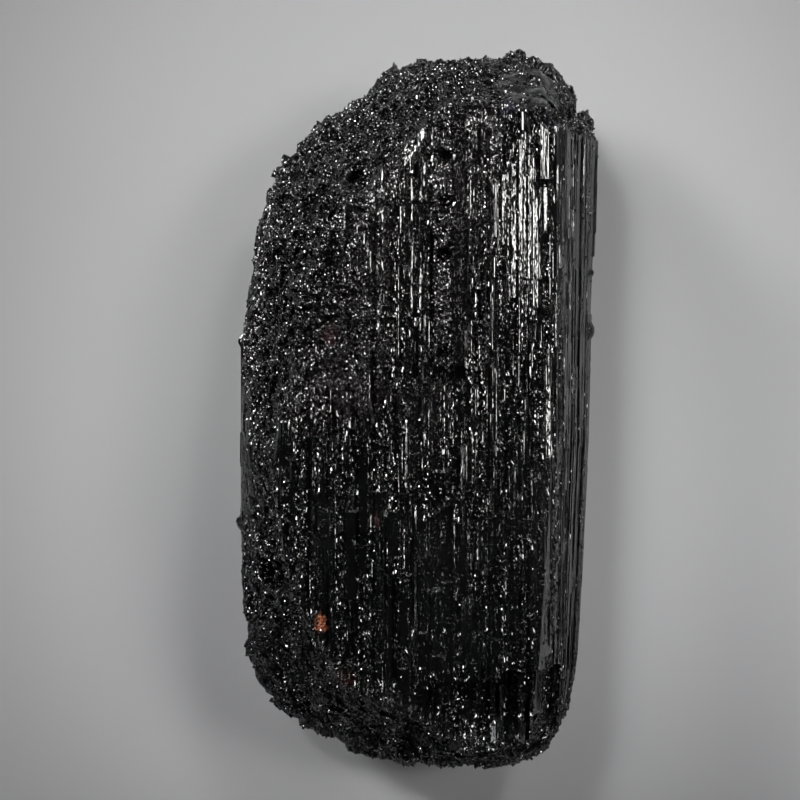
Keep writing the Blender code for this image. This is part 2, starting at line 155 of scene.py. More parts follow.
# The recess at the tail: its ledge as u over x, and how deep it goes below the front.
LEDGE = (-11.1, -2.7, 3.5, 13.1, 18.4, 28.3), (21.2, 20.5, 22.8, 23.4, 25.3, 25.1)
RECESS = (-12, -3.2, -2, 8, 11, 16, 19, 27.5, 30), (0.6, 1.4, 6.8, 6.8, 4.6, 4.6, 7, 7, 0.4)
RECESS_LIP, RECESS_REACH, RECESS_FADE = (-0.2, 0.5), (9, 16), 0.75

# Rods standing in the recess: left, right, low end, high end, rise.
RODS = (
    (14.6, 16, 9.6, 21.9, 2), (16.6, 17.8, 9, 22.3, 1.8),
    (20.4, 22, 9, 24.6, 3.2), (22.9, 23.9, 9.6, 18.8, 2.4),
)
ROD_SUGAR, ROD_SHOWS = 0.15, 0.5

# A broad rib that the crystal mostly lies on: left, right, low end, high end.
BELLY = (-6, 7.5, 38, 121)

# Striations of grown faces: width, run and rise of each size of strip, and how much calmer the
# right side is. The finer strips are calm only above the height in CALM_Z.
STRIPS = (
    (4.6, 64, 0.65, 0.4), (2.3, 38, 0.4, 0.7), (0.95, 26, 0.2, 0.7), (0.5, 14, 0.09, 0.7),
)
CALM_X, CALM_Z, COARSE_STRIPS = (28, 30), (16, 24), 2
# Dark seams between strips: depth, strip width, seed, reach to each side.
SEAMS = ((0.8, 4.6, 1, 0.6), (0.6, 2.3, 2, 0.42))
FINE_SEAM, FINE_SEAM_DEPTH = (0.95, 3, 0.42), 0.5

# Broken faces have facets and lumps.
CHIP_SIZE, CHIP_TILT, CHIP_STEP = 4.6, 0.5, 0.16
LUMP_SIZE, LUMPS_LEVEL, DENT_SIZE, DENT_RISE = 11.0, 0.5, 5.2, 1.9
GROWN_HIDDEN, SUGAR_FACETS = 0.7, 0.6
HIGHEST, EXCESS = 0.8, 0.25
SWELL_RISE, SWELL_SIZE = 0.4, 24.0
SETTLE = 0.7
# Where a break and the front begin and are full: by how far grown faces stand beyond the break,
# and by how far a line points up.
CUT, FRONT_FACING = (-1.0, 3.0), (0.5, 0.8)

# The crust fills the upper left of the front and, elsewhere, lanes: weight, width, run, seed.
CRUSTED_X, CRUSTED_U = (-5, -14), (70, 95)
CRUST_STRIPS = ((0.9, 2.1, 46, 201), (0.45, 0.9, 30, 203))
CRUST_PATCH, PATCHY = ((1.6, 8), 205), 0.45
CRUST_LEFT, CRUST_RIGHT, CRUST_RIGHT_END, CRUST_RISING = (-10, -16), (9, 11), (22, 20), (85, 105)
BARE_MIDDLE_X, BARE_MIDDLE_U = (8, 14), (92, 84)
CRUST_AT_SIDES, BARE_MIDDLE, CRUST_TURN = 0.4, 0.12, 0.15
CRUST_Z = (1.0, 3.0)
# The clean right and left faces.
CLEAN_RIGHT_X, CLEAN_RIGHT_U, CLEAN_RIGHT = (28.5, 30.5), (12, 30), 0.85
CLEAN_LEFT_X, CLEAN_LEFT_U, CLEAN_LEFT_END, CLEAN_LEFT = (-33.5, -34.5), (50, 53), (86, 83), 0.9
# The recess and the dome's smooth patch are cleaner too.
CLEAN_RECESS, CLEAN_DEPTH, CLEAN_DOME = 0.3, (1.0, 4.0), 0.85

# Grain of the crust: rise, size, seed, tilt and step of facets; rise, size and seed of beads.
LUMPY_CHIPS = ((0.9, (2.5, 2.8, 2.5), 151, 0.7, 0.15), (0.35, (0.85, 1.0, 0.85), 161, 0.7, 0.3))
LUMPY_BEADS = ((1.1, 3.3, 191), (0.35, 1.3, 195))
LUMPY_LEVEL = 0.7
RIDGED_CHIPS = ((0.55, (0.8, 5.5, 0.8), 155, 0.7, 0.3), (0.4, (0.6, 1.6, 0.6), 165, 0.8, 0.3))
# Small gaps in the crust: size, seed, the noise that opens them and depth.
GAPS, GAPS_OPEN = (2.3, 185), (0.35, 0.65)
SLITS, SLITS_OPEN, SLIT_DEPTH = ((0.7, 3.5, 0.7), 181), (0.3, 0.7), 0.7
# To the right the crust is finer, its gaps are shallower and the whole is calmer.
FINER_X, GAP_DEPTH, FINER_GAPS, FINER_CALM = (9.2, 10.0), 1.2, 0.8, 0.4


# ---- numbers that look random but are always the same

HASH_START, SEED_STEP = 2166136261, 7919
MIXERS = ((16777619, 13), (0x5BD1E995, 15))
# How the edges of strips and seams wander: share of the width, size, seed offset.
WANDER, WANDER_SIZE, WANDER_SEED = 0.35, 2.1, 5
# Strips: shortest run, how much longer it may be, and how far lanes are shifted, in runs.
RUN_LEAST, RUN_MORE, RUN_SHIFT = 0.6, 0.8, 7
# Seams: the noise that opens them, its size, how far apart lanes are in it, and the full share.
SEAM_OPEN, SEAM_PATCH, LANE_APART, SEAM_LEVEL = (-0.4, 0.1), (5.0, 7.0), 5.0, 0.3
# Seeds keep off the edges of their cells, and beads meet at a squared distance.
SEED_EDGE, SEED_ROOM, BEADS_MEET = 0.1, 0.8, 0.6


def hashed(cells, seed):
    """One number from 0 to 1 for each cell of a grid."""
    low = np.uint64(0xFFFFFFFF)
    word = np.full(cells[0].shape, HASH_START + SEED_STEP * seed, np.uint64) & low
    for cell in cells:
        word ^= (cell.astype(np.int64) & 0xFFFFFFFF).astype(np.uint64)
        for factor, shift in MIXERS:
            word = (word * np.uint64(factor)) & low
            word ^= word >> np.uint64(shift)
    return word.astype(np.float64) / 2.0 ** 32


def noise(points, size, seed):
    """Smooth swells from -1 to 1, about one size apart."""
    grid = points / np.asarray(size, float)
    base = np.floor(grid)
    ease = grid - base
    ease = ease * ease * (3 - 2 * ease)
    axes = points.shape[1]
    total = np.zeros(len(points))
    for corner in range(2 ** axes):
        weight = np.ones(len(points))
        cell = []
        for axis in range(axes):
            upper = corner >> axis & 1
            weight *= ease[:, axis] if upper else 1 - ease[:, axis]
            cell.append(base[:, axis] + upper)
        total += weight * hashed(cell, seed)
    return total * 2 - 1


def fractal(points, size, seed, octaves):
    """Swells with smaller swells on them."""
    size = np.asarray(size, float)
    return sum(noise(points, size / 2 ** k, seed + k) / 2 ** k for k in range(octaves))


def nearest_seed(points, size, seed):
    """Squared distance to the nearest seed on a grid, the way from it, its cell."""
    grid = points / np.asarray(size, float)
    base = np.floor(grid)
    count, axes = grid.shape
    nearest = np.full(count, np.inf)
    offset, key = np.zeros((count, axes)), np.zeros((count, axes))
    for index in range(3 ** axes):
        cell = base + [index // 3 ** axis % 3 - 1 for axis in range(axes)]
        jitter = np.stack([hashed(cell.T, seed + 11 + axis) for axis in range(axes)], 1)
        away = grid - (cell + SEED_EDGE + SEED_ROOM * jitter)
        distance = (away * away).sum(1)
        closer = distance < nearest
        nearest[closer], offset[closer], key[closer] = distance[closer], away[closer], cell[closer]
    return nearest, offset.T, key.T


def chips(points, size, seed, tilt, step):
    """Flat facets, each tilted and raised its own way, in units of size."""
    _, offset, key = nearest_seed(points, size, seed)
    height = (hashed(key, seed + 31) - 0.5) * 2 * step
    for axis, away in enumerate(offset):
        height += (hashed(key, seed + 41 + axis) - 0.5) * 2 * tilt * away
    return height


def beads(points, size, seed):
    """Round lumps, 1 at their tops and about 0 in the creases between them."""
    return 1 - nearest_seed(points, size, seed)[0] / BEADS_MEET


def smooth(value, start, end):
    """0 before start, 1 after end, an even turn between."""
    t = np.clip((value - start) / (end - start), 0, 1)
    return t * t * (3 - 2 * t)


def disc(away, radius, level):
    """1 out to a level share of the radius, 0 beyond the radius."""
    return 1 - smooth(away, level * radius, radius)


def layered(pattern, points, layers):
    """Sum of a pattern's layers, each a rise and the pattern's settings."""
    return sum(rise * pattern(points, *settings) for rise, *settings in layers)


def strips(across, along, width, run, seed):
    """Long flat strips of uneven level from -1 to 1, each broken off at its own places."""
    wander = noise(across[:, None], WANDER_SIZE * width, seed + WANDER_SEED)
    lane = np.floor((across + WANDER * width * wander) / width)
    length = run * (RUN_LEAST + RUN_MORE * hashed([lane], seed + 1))
    piece = np.floor((along + RUN_SHIFT * run * hashed([lane], seed)) / length)
    return 2 * hashed([lane, piece], seed + 2) - 1


def seams(across, along, width, seed, reach_aside):
    """1 in the broken dark lines between long strips, 0 beside them."""
    wander = noise(across[:, None], WANDER_SIZE * width, seed + WANDER_SEED)
    bent = across / width + WANDER * wander
    beside = width * np.abs(bent - np.round(bent))
    places = np.stack([np.round(bent) * LANE_APART, along], 1)
    open_here = smooth(noise(places, SEAM_PATCH, seed + 90), *SEAM_OPEN)
    return open_here * disc(beside, reach_aside, SEAM_LEVEL)


# ---- the faces that bound the crystal

def face_planes():
    """Outward normals, distances and broken flags of the bounding faces, the belly last."""
    planes = []
    for index, (x, u, front, back, height) in enumerate(OUTLINE):
        next_x, next_u = OUTLINE[(index + 1) % len(OUTLINE)][:2]
        for slope, side in ((front, 1), (back, -1)):
            outward, is_broken = (-(next_u - u), next_x - x), index not in GROWN_STRETCHES
            planes.append(((x, u, height), outward, slope, is_broken, side))
    planes += [(*face, 1) for face in FACES]
    planes.append(((0, 0, 0), (0, 1), 0, False, -1))
    normals = []
    for point, (fall_x, fall_u), slope, is_broken, side in planes:
        span = hypot(fall_x, fall_u)
        lean, rise = sin(radians(slope)), cos(radians(slope))
        normals.append((fall_x / span * lean, fall_u / span * lean, side * rise))
    distances = [np.array(normal) @ np.array(plane[0]) for normal, plane in zip(normals, planes)]
    return np.array(normals), np.array(distances), np.array([plane[3] for plane in planes])


NORMALS, DISTANCES, IS_BROKEN = face_planes()


def reach(start, direction):
    """How far lines run to the grown faces, the broken faces and the belly."""
    toward = direction @ NORMALS.T
    behind = start @ NORMALS.T
    far = 1e6
    with np.errstate(divide="ignore", invalid="ignore"):
        run = np.where(toward > 1e-6, (DISTANCES - behind) / toward, far)
    return run[:, ~IS_BROKEN].min(1), run[:, IS_BROKEN].min(1), run[:, -1]


# ---- what stands on the faces

def window(x, u, left, right, low, high, edge=EDGE_GAP):
    """1 inside a lane of the front and 0 outside it."""
    across = np.clip(np.minimum(x - left, right - x) / (2 * edge) + 0.5, 0, 1)
    along = np.clip(np.minimum(u - low, high - u) / (2 * edge) + 0.5, 0, 1)
    return across * along


def put_in(old, new, inside):
    """The new value where inside is 1, the old one where it is 0."""
    return old * (1 - inside) + inside * new


def recess(x, u):
    """Depth of the recess under the tail ledge."""
    below = np.interp(x, *LEDGE) - u
    depth = np.interp(x, *RECESS, left=0, right=0)
    return depth * smooth(below, *RECESS_LIP) * (1 - RECESS_FADE * smooth(below, *RECESS_REACH))


def broken_share(x, u, front, cut):
    """1 on broken ends and the front's crusted upper left, 0 on grown faces."""
    return np.maximum(cut, smooth(x, *CRUSTED_X) * smooth(u, *CRUSTED_U) * front)


def granular_share(x, u, front, cut):
    """1 where the crust is granular, 0 where it runs in ridges."""
    lanes = GRANULAR_SHARE * sum(window(x, u, *lane[:4], GRANULAR_EDGE) for lane in GRANULAR)
    return np.maximum(lanes * front, broken_share(x, u, front, cut))


def crust_share(points, front, across, cut):
    """How sugary the surface is, from 0 on clean ribs to 1 in the crust."""
    x, u, z = points.T
    bands = sum(weight * strips(across, u, *strip) for weight, *strip in CRUST_STRIPS)
    bands += PATCHY * noise(np.stack([across, u], 1), *CRUST_PATCH)
    right = smooth(x, *CRUST_RIGHT) * smooth(x, *CRUST_RIGHT_END) * (1 + smooth(u, *CRUST_RISING))
    bands += CRUST_AT_SIDES * smooth(x, *CRUST_LEFT) + CRUST_AT_SIDES * right
    middle = 1 - smooth(np.abs(x), *BARE_MIDDLE_X)
    bands -= BARE_MIDDLE * middle * smooth(u, *BARE_MIDDLE_U)
    share = smooth(bands, -CRUST_TURN, CRUST_TURN)
    for *lane, sugary in GRANULAR:
        share = put_in(share, sugary, window(x, u, *lane, GRANULAR_EDGE))
    share *= 1 - CLEAN_RIGHT * smooth(x, *CLEAN_RIGHT_X) * smooth(u, *CLEAN_RIGHT_U)
    left_strip = smooth(x, *CLEAN_LEFT_X) * smooth(u, *CLEAN_LEFT_U) * smooth(u, *CLEAN_LEFT_END)
    share *= 1 - CLEAN_LEFT * left_strip
    for *lane, rise, lean, sugary in RIBS:
        share = put_in(share, sugary, window(x, u, *lane) * front)
    for *lane, rise in RODS:
        share = put_in(share, ROD_SUGAR, window(x, u, *lane) * front)
    share = np.maximum(share, broken_share(x, u, front, cut))
    share *= 1 - CLEAN_RECESS * front * smooth(recess(x, u), *CLEAN_DEPTH)
    dome_x, dome_u, *patch = SMOOTH_DOME
    share *= 1 - CLEAN_DOME * disc(np.hypot(x - dome_x, u - dome_u), *patch)
    return share * smooth(z, *CRUST_Z)


def shoulder(points):
    """1 on the broken end of the right side."""
    x, u, z = points.T
    return smooth(u, *SHOULDER_U) * smooth(x, *SHOULDER_X) * smooth(z, *SHOULDER_Z)


def crease(x, u, z):
    """Depth of the crease beside the dome."""
    nearest = np.full(len(x), np.inf)
    for (x0, u0), (x1, u1) in zip(CREASE, CREASE[1:]):
        run_x, run_u = x1 - x0, u1 - u0
        along = ((x - x0) * run_x + (u - u0) * run_u) / (run_x ** 2 + run_u ** 2)
        along = np.clip(along, 0, 1)
        away = np.hypot(x - x0 - along * run_x, u - u0 - along * run_u)
        nearest = np.minimum(nearest, away)
    return CREASE_DEPTH * (1 - smooth(nearest, *CREASE_SIDE)) * smooth(z, *CREASE_Z)


def faces_relief(points, front, across, cut):
    """Striations on the grown faces, facets and lumps on the broken ones."""
    x, u, z = points.T
    grown = np.zeros(len(x))
    for index, (width, run, rise, calmer) in enumerate(STRIPS):
        height = 1 if index < COARSE_STRIPS else smooth(z, *CALM_Z)
        calm = 1 - calmer * smooth(x, *CALM_X) * height
        grown += calm * rise * strips(across, u, width, run, index + 1)
    sugar = broken_share(x, u, front, cut)
    facets = CHIP_SIZE * chips(points, CHIP_SIZE, 51, CHIP_TILT, CHIP_STEP)
    dents = DENT_RISE * np.abs(noise(points, DENT_SIZE, 77))
    lumps = fractal(points, LUMP_SIZE, 71, 2) + dents - LUMPS_LEVEL
    grown -= front * sum(depth * seams(across, u, *seam) for depth, *seam in SEAMS)
    grown = (1 - cut) * (1 - GROWN_HIDDEN * sugar) * grown
    stand = grown + sugar * SUGAR_FACETS * facets + cut * lumps
    return np.where(stand > HIGHEST, HIGHEST + EXCESS * (stand - HIGHEST), stand)


def crust_relief(points, front, across, cut):
    """Grain of the crust: lumps and beads where it is granular, fine ridges elsewhere."""
    x, u, z = points.T
    finer = smooth(x, *FINER_X)
    lumpy = layered(chips, points, LUMPY_CHIPS)
    lumpy += layered(beads, points, LUMPY_BEADS) - LUMPY_LEVEL
    ridged = layered(chips, points, RIDGED_CHIPS)
    ridged -= SLIT_DEPTH * front * smooth(noise(points, *SLITS), *SLITS_OPEN)
    ridged -= FINE_SEAM_DEPTH * front * seams(across, u, *FINE_SEAM)
    gaps = smooth(noise(points, *GAPS), *GAPS_OPEN)
    lumpy -= (GAP_DEPTH - FINER_GAPS * finer) * gaps
    lumpy *= 1 - FINER_CALM * front * finer * (1 - cut)
    return put_in(ridged, lumpy, granular_share(x, u, front, cut))


def relief(points, front, across, cut):
    """How far the surface stands out from the bounding faces."""
    x, u, z = points.T
    stand = faces_relief(points, front, across, cut)
    for *lane, rise, lean, sugary in RIBS:
        slope = tan(radians(lean)) * ((lane[0] + lane[1]) / 2 - x)
        stand = put_in(stand, rise + slope, window(x, u, *lane) * front)
    for pit_x, pit_u, radius, depth in PITS:
        stand -= depth * front * disc(np.hypot(x - pit_x, u - pit_u), radius, PIT_FLOOR)
    stand -= UNDERCUT_DEPTH * front * window(x, u, *UNDERCUT, UNDERCUT_EDGE)
    for knob_x, knob_u, height, radius, rise in KNOBS:
        away = np.sqrt((x - knob_x) ** 2 + (u - knob_u) ** 2 + (z - height) ** 2)
        stand += rise * disc(away, radius, KNOB_TOP)
    stand -= crease(x, u, z) + SHOULDER_DEPTH * shoulder(points)
    sunk = recess(x, u) * front
    for *lane, rise in RODS:
        inside = window(x, u, *lane) * front * (sunk > ROD_SHOWS)
        stand = stand * (1 - inside)
        sunk = sunk - inside * np.minimum(rise, sunk)
    swell = SWELL_RISE * noise(points, SWELL_SIZE, 99)
    crust = crust_share(points, front, across, cut)
    return stand + swell - sunk - SETTLE + crust * crust_relief(points, front, across, cut)


def meet_faces(start, direction):
    """Where lines meet the bounding faces: points, front and cut shares, belly flag."""
    grown, broken, belly = reach(start, direction)
    nearest = np.minimum(grown, broken)
    points = start + direction * nearest[:, None]
    front = smooth(direction[:, 2], *FRONT_FACING)
    cut = np.maximum(smooth(grown - broken, *CUT), shoulder(points))
    return points, front, cut, belly <= nearest + 1e-6


def surface(start, direction, across):
    """Surface points, grooved underneath but flat where the crystal lies."""
    points, front, cut, on_belly = meet_faces(start, direction)
    stand = relief(points, front, across, cut)
    rib = window(points[:, 0], points[:, 1], *BELLY)
    stand = np.where(on_belly, (stand + SETTLE) * (1 - rib), stand)
    points = points + direction * stand[:, None]
    points[:, 2] = np.maximum(points[:, 2], 0.0)
    return points


# ---- the closed skin

# Where the back begins, and the arcs that set how many lines run above, below and round the ends.
SIDE_TURN = radians(110)
UPPER_ARC, LOWER_ARC, END_ARC = 42.0, 16.0, 26.0
ROW_STRETCH = 1.25


def spread(low, high, pitch, edges=()):
    """Evenly spaced places from low to high, with a close pair at each edge."""
    count = max(2, round((high - low) / pitch))
    even = np.linspace(low, high, count + 1)
    pairs = [edge + side * EDGE_GAP for edge in edges for side in (-1, 1)]
    inner = [place for place in pairs if low + EDGE_GAP < place < high - EDGE_GAP]
    keep = [p for p in even if p in (low, high) or all(abs(p - q) > 1.5 * EDGE_GAP for q in inner)]
    return np.unique(np.round(np.concatenate([keep, inner]), 4))


class Skin:
    """The closed surface as rows of points round the core."""

    def __init__(self, pitch):
        # Columns start at an x and an angle round the core, clockwise seen from the tail.
        lanes = [edge for lane in RIBS + RODS for edge in lane[:2]]
        front = spread(CORE_LEFT, CORE_RIGHT, pitch, lanes)
        upper = np.linspace(0, SIDE_TURN, round(UPPER_ARC / pitch))
        lower = np.linspace(SIDE_TURN, pi, round(LOWER_ARC / pitch))
        turn = np.concatenate([upper[1:], lower[1:-1]])
        self.flat, self.turned = len(front), len(turn)
        self.start_x = np.repeat(
            [0, CORE_RIGHT, 0, CORE_LEFT], [self.flat, self.turned, self.flat, self.turned])
        self.start_x[:self.flat] = front
        self.start_x[self.flat + self.turned:-self.turned] = front[::-1]
        self.angle = np.concatenate([0 * front, turn, 0 * front + pi, 2 * pi - turn[::-1]])
        # Rows start at a u and a lift, from the tail's fan to the head's.
        body = spread(CORE_TAIL, CORE_HEAD, ROW_STRETCH * pitch)
        fan = np.linspace(0, pi / 2, round(END_ARC / pitch))[1:-1]
        self.lift = np.concatenate([-fan[::-1], 0 * body, fan])
        self.start_u = np.pad(body, len(fan), "edge")
        # Distance of each column round the crystal at mid length, equal to x on the front.
        start = core_points(self.start_x, LENGTH / 2)
        direction = line_direction(self.angle, 0 * self.angle)
        points = start + direction * reach(start, direction)[0][:, None]
        steps = np.hypot(*np.diff(points[:, [0, 2]], axis=0).T)
        self.across = CORE_LEFT + np.concatenate([[0], np.cumsum(steps)])

    def cast(self, start_x, start_u, angle, lift, across):
        """Surface points of lines with a start, an angle round the core and a lift."""
        return surface(core_points(start_x, start_u), line_direction(angle, lift), across)

    def closed(self):
        """Points and faces of the whole closed surface."""
        around, along, flat = len(self.start_x), len(self.start_u), self.flat
        grid = [np.tile(column, along) for column in (self.start_x, self.angle, self.across)]
        rows = [np.repeat(row, around) for row in (self.start_u, self.lift)]
        points = [self.cast(grid[0], rows[0], grid[1], rows[1], grid[2])]
        for seam_u, lift in ((CORE_TAIL, -pi / 2), (CORE_HEAD, pi / 2)):
            seam_x = self.start_x[:flat]
            points.append(self.cast(
                seam_x, np.full(flat, seam_u), np.zeros(flat), np.full(flat, lift), seam_x))
        first = np.arange(along - 1)[:, None] * around
        here = first + np.arange(around)
        beside = first + (np.arange(around) + 1) % around
        quads = np.stack([here, beside, around + beside, around + here], -1)
        faces = quads.reshape(-1, 4).tolist()
        # The fan at each end closes on a seam, whose points the front and the back share.
        aside = [flat - 1] * self.turned, [0] * self.turned
        meets = [*range(flat), *aside[0], *reversed(range(flat)), *aside[1]]
        ends = ((0, along * around, True), ((along - 1) * around, along * around + flat, False))
        for ring, seam, tail in ends:
            for here, beside in zip(range(around), [*range(1, around), 0]):
                corners = [ring + here, ring + beside, seam + meets[beside], seam + meets[here]]
                if meets[here] == meets[beside]:
                    corners.pop()
                faces.append(corners[::-1] if tail else corners)
        return np.concatenate(points), faces

    def shares(self, points):
        """Crust and granular shares at surface points given in millimetres."""
        start_x = np.clip(points[:, 0], CORE_LEFT, CORE_RIGHT)
        start_u = np.clip(points[:, 1], CORE_TAIL, CORE_HEAD)
        aside, above = points[:, 0] - start_x, points[:, 2] - CORE_HEIGHT
        angle = np.arctan2(aside, above) % (2 * pi)
        lift = np.arctan2(points[:, 1] - start_u, np.hypot(aside, above))
        under = self.across[self.flat + self.turned] + (CORE_RIGHT - start_x)
        level = np.where(above > 0, start_x, under)
        across = np.where(np.abs(aside) < 1e-6, level, np.interp(angle, self.angle, self.across))
        start, direction = core_points(start_x, start_u), line_direction(angle, lift)
        base, front, cut, _ = meet_faces(start, direction)
        crust = crust_share(base, front, across, cut)
        return crust, granular_share(base[:, 0], base[:, 1], front, cut)


def core_points(start_x, start_u):
    """Points of the core, where lines start."""
    start_u = np.broadcast_to(start_u, len(start_x))
    return np.stack([start_x, start_u, np.full(len(start_x), CORE_HEIGHT)], 1)


def line_direction(angle, lift):
    """Unit vectors out of the core."""
    return np.stack([np.sin(angle) * np.cos(lift), np.sin(lift), np.cos(angle) * np.cos(lift)], 1)


def to_metres(points):
    """From the form's millimetres to the frame's metres."""
    return (points - (MIDDLE_X, MIDDLE_U, 0.0)) * METRES


# ---- shader and geometry nodes

def operator_pair(operation):
    """A Python operator and its reflected form. Each adds one Math node."""
    return (lambda self, other: self.math(operation, self, other),
            lambda self, other: self.math(operation, other, self))


class Value:
    """An output of a node. Python's operators on it add Math nodes."""

    __add__, __radd__ = operator_pair("ADD")
    __sub__, __rsub__ = operator_pair("SUBTRACT")
    __mul__, __rmul__ = operator_pair("MULTIPLY")

    def __init__(self, tree, socket):
        self.tree, self.socket = tree, socket

    def math(self, operation, *others):
        values = dict(enumerate(others))
        return self.tree.node("ShaderNodeMath", values, {"operation": operation})

    def at_least(self, other):
        return self.math("MAXIMUM", self, other)

    def ramp(self, start, end):
        """0 up to start, 1 from end, an even turn between."""
        values, settings = {0: self, 1: start, 2: end}, {"interpolation_type": "SMOOTHSTEP"}
        return self.tree.node("ShaderNodeMapRange", values, settings)

    def axis(self, name):
        """One of the three numbers of a vector."""
        return self.tree.node("ShaderNodeSeparateXYZ", {0: self}, output=name)


class Tree:
    """A node tree that is filled by one call for each node."""

    def __init__(self, tree):
        self.tree = tree

    def feed(self, socket, value):
        """Links an output to a socket, or sets the socket to a plain value."""
        if isinstance(value, Value):
            self.tree.links.new(value.socket, socket)
        else:
            socket.default_value = value

    def node(self, kind, values=None, settings=None, output=0):
        """Adds a node, sets it up, feeds its inputs and gives one of its outputs."""
        new = self.tree.nodes.new(kind)
        for name, setting in (settings or {}).items():
            setattr(new, name, setting)
        for key, value in (values or {}).items():
            self.feed(new.inputs[key], value)
        return new if output is None else Value(self, new.outputs[output])


class Shader(Tree):
    """A material's node tree with a Principled BSDF."""

    def __init__(self, name):
        self.material = bpy.data.materials.new(name)
        self.material.use_nodes = True
        super().__init__(self.material.node_tree)
        self.principled = self.tree.nodes["Principled BSDF"]
        self.place = self.node("ShaderNodeTexCoord", output="Object")

    def set(self, **values):
        """Sets or links inputs of the Principled BSDF, written with _ for a space."""
        for name, value in values.items():
            self.feed(self.principled.inputs[name.replace("_", " ")], value)

    def stretched(self, scale):
        """Object coordinates scaled along each axis."""
        if scale == EVEN:
            return self.place
        return self.node("ShaderNodeMapping", {"Vector": self.place, "Scale": scale})

    def noise(self, stretch, scale, detail, rough=0.5):
        return self.node("ShaderNodeTexNoise", {
            "Vector": self.stretched(stretch), "Scale": scale, "Detail": detail,
            "Roughness": rough}, output="Fac")

    def blend(self, factor, first, second):
        """Mixes two colours."""
        values = {0: factor, 6: first, 7: second}
        return self.node("ShaderNodeMix", values, {"data_type": "RGBA"}, 2)

    def attribute(self, name):
        return self.node("ShaderNodeAttribute", None, {"attribute_name": name}, "Fac")

    def vector(self, operation, *operands, output=0):
        values = dict(enumerate(operands))
        return self.node("ShaderNodeVectorMath", values, {"operation": operation}, output)

    def facets(self, stretch, scale, tilt):
        """Height of flat cells that each lean their own way."""
        vector = self.stretched(stretch)
        values = {"Vector": vector, "Scale": scale}
        cells = self.node("ShaderNodeTexVoronoi", values, output=None)
        lean = self.vector("SUBTRACT", Value(self, cells.outputs["Color"]), (0.5, 0.5, 0.5))
        away = self.vector("SUBTRACT", vector, Value(self, cells.outputs["Position"]))
        return self.vector("DOT_PRODUCT", away, lean, output="Value") * tilt

    def bump(self, height, strength, distance, normal=None):
        values = {"Height": height, "Strength": strength, "Distance": distance}
        if normal:
            values["Normal"] = normal
        return self.node("ShaderNodeBump", values)


# Patterns of the finish: stretch, scale, then detail and roughness of a noise or tilt of cells.
EVEN = (1.0, 1.0, 1.0)
STREAKS = ((1.0, 0.03, 1.0), 2600.0, 3.0, 0.6)
BANDS = ((1.0, 0.05, 1.0), 420.0, 2.0)
CLOUD = (EVEN, 160.0, 3.0)
RAGGED = (EVEN, 900.0, 3.0)
FLECKS = (EVEN, 3000.0, 2.0)
STRIAE = ((1.0, 0.035, 1.0), 1800.0, 0.18)
GRAINY = ((1.0, 0.8, 1.0), 3400.0, 1.4)
RIDGED = ((1.0, 0.35, 1.0), 3400.0, 1.2)
CLUSTERS = ((1.0, 0.4, 1.0), 1300.0, 0.55)
STREAK_HEIGHT, IOR = 0.00006, 1.64
# How the crust hides striae and streaks, and how strong cells are on clean ribs and beyond.
STRIAE_HIDDEN, STREAKS_HIDDEN, CLEAN_CELLS, CRUST_CELLS = 0.7, 0.9, 0.03, 0.97
# How much rougher bands, the right side, mineral spots and painted sheen are, and where the right
# side begins.
BAND_ROUGH, SIDE_ROUGH, SPOT_ROUGH = 0.03, 0.13, 0.12
RIGHT_SIDE = (0.0265, 0.0290)
CLOUDED_BLACK, CLOUDED = (0.001, 0.001, 0.0011, 1.0), (0.45, 0.75)

# Mineral spots and patches of painted bluish sheen on the front: x, u, half width, half length,
# colour.
RUST = (0.30, 0.10, 0.05, 1.0)
OXBLOOD = (0.018, 0.004, 0.004, 1.0)
DUSKY_PINK = (0.03, 0.012, 0.014, 1.0)
# A blue tint in the base colour: painted sheen standing for the blue cast of highlights on the
# upper right facets.
PAINTED_BLUE_SHEEN = (0.020, 0.019, 0.032, 1.0)
SPOTS = (
    (-20.0, 34.9, 1.3, 2.1, RUST),
    (-14.9, 23.5, 2.2, 2.6, OXBLOOD),
    (-18.0, 93.9, 1.6, 2.4, DUSKY_PINK),
    (-8.8, 56.1, 1.0, 1.6, DUSKY_PINK),
    (28.6, 60.0, 0.7, 2.0, OXBLOOD),
    # The last two spots are painted bluish sheen, not mineral colour.
    (29.6, 138.2, 3.6, 1.6, PAINTED_BLUE_SHEEN),
    (18.2, 140.6, 1.6, 1.9, PAINTED_BLUE_SHEEN),
)
SPOT_HEIGHT, SPOT_DEPTH = DEPTH - 2.0, 6.0
SPOT_FLECKS, SPOT_RAGGED, SPOT_EDGE = (0.42, 0.56), 2.0, (0.5, 1.2)


